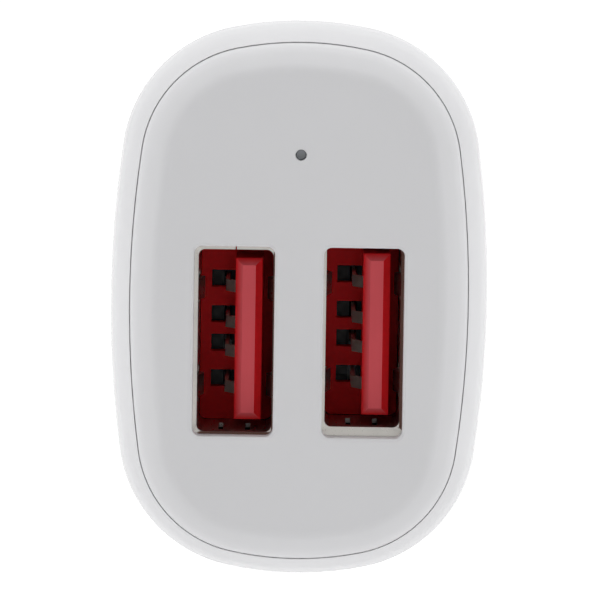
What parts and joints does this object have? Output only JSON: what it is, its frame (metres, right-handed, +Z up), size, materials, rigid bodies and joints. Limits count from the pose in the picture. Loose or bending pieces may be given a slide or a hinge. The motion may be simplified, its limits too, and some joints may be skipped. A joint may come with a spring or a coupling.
{
  "type": "car usb charger plug",
  "caption": "White car charger plug with an oval head, upright USB-A ports, a pinhole lamp and a round barrel with a sprung tip and side contacts.",
  "frame": {"origin": "on the barrel's axis, where the head's shoulder meets the collar", "axes": "+X to the right as the face is seen, +Y into the car's socket, +Z up"},
  "size_m": [0.026, 0.0672, 0.0382],
  "materials": {
    "white_gloss": "gloss",
    "white_satin": "satin",
    "nickel": "polished",
    "spring_steel": "bright",
    "shell_steel": "bright",
    "brass": "bright",
    "tinned": "satin",
    "board": "satin",
    "lamp": "clear",
    "ferrite": "matte",
    "copper": "satin",
    "can": "gloss",
    "black_epoxy": "matte",
    "red_plastic": "satin"
  },
  "bodies": {
    "charger": {"housing": "white_gloss", "face_panel": "white_satin", "nose_cap": "white_gloss", "tip_spring": "spring_steel", "spring_terminal": "brass", "main_board": "board", "usb_board": "board", "led_lamp": "lamp", "led_legs": "tinned", "inductor_core": "ferrite", "inductor_winding": "copper", "input_capacitor": "can", "output_capacitor": "can", "converter_chip": "black_epoxy", "converter_leads": "tinned", "rectifier_diode": "black_epoxy", "chip_components": "black_epoxy", "usb_left_shell": "shell_steel", "usb_left_insulator": "red_plastic", "usb_left_contacts": "brass", "usb_right_shell": "shell_steel", "usb_right_insulator": "red_plastic", "usb_right_contacts": "brass"},
    "tip": {"tip_contact": "nickel"},
    "ground_left": {"ground_contact_left": "spring_steel"},
    "ground_right": {"ground_contact_right": "spring_steel"}
  },
  "joints": [
    {"name": "tip_press", "type": "slide", "parent": "charger", "child": "tip", "axis": [0, -1, 0], "range_m": [0, 0.0025], "stiffness_N_per_m": 300, "springref_m": -0.005, "deforming": ["tip_spring"]},
    {"name": "ground_left_press", "type": "slide", "parent": "charger", "child": "ground_left", "axis": [1, 0, 0], "range_m": [0, 0.0015], "stiffness_N_per_m": 40, "springref_m": -0.01},
    {"name": "ground_right_press", "type": "slide", "parent": "charger", "child": "ground_right", "axis": [-1, 0, 0], "range_m": [0, 0.0015], "stiffness_N_per_m": 40, "springref_m": -0.01}
  ]
}
